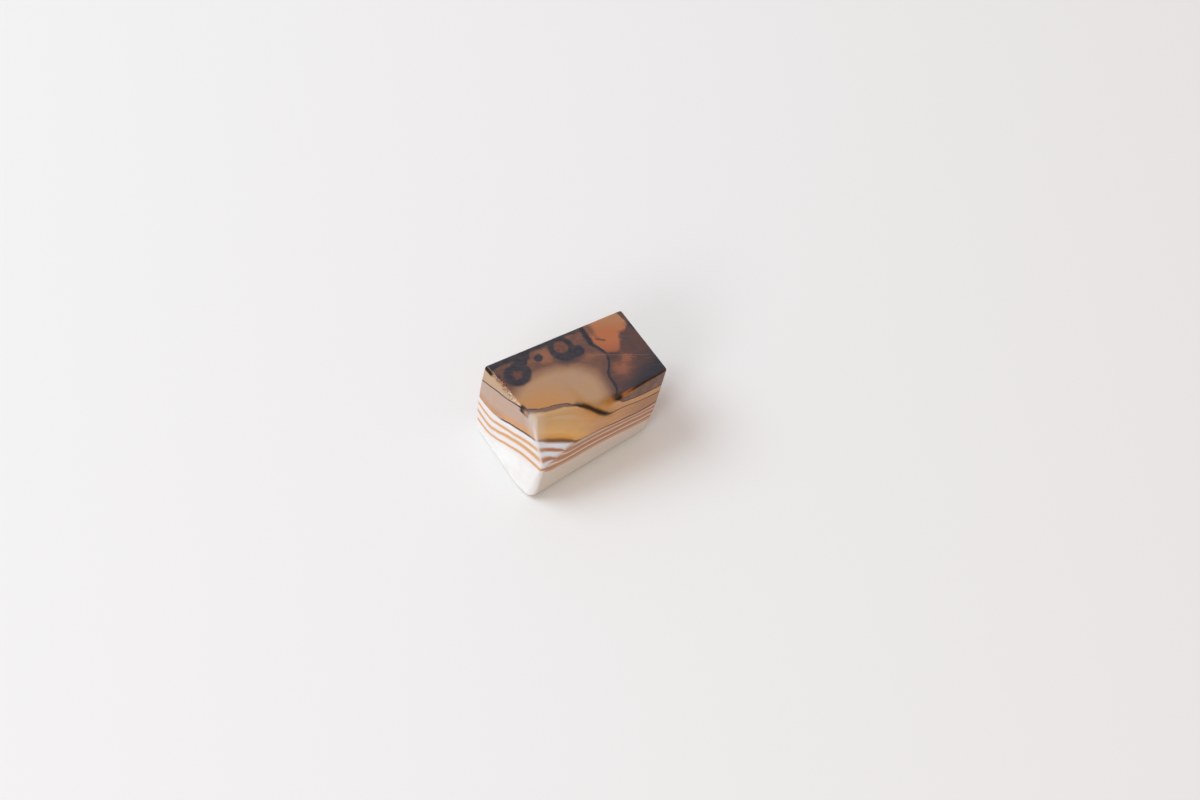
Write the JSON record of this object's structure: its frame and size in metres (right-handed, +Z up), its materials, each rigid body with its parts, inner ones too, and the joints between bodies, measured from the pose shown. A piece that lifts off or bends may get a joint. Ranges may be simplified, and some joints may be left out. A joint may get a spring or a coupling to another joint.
{
  "type": "banded agate freeform",
  "caption": "Polished block of banded agate, sawn and ground into slanting flats with softly rounded edges, lying on its flat white base layer.",
  "frame": {"origin": "middle of the block's outline, on the surface that it lies on", "axes": "+X along the longest way of the block, beside its upright front face; +Z up, across the polished top"},
  "size_m": [0.0486, 0.0306, 0.022],
  "materials": {
    "agate": "polished"
  },
  "bodies": {
    "root": {"agate": "agate"}
  },
  "joints": []
}
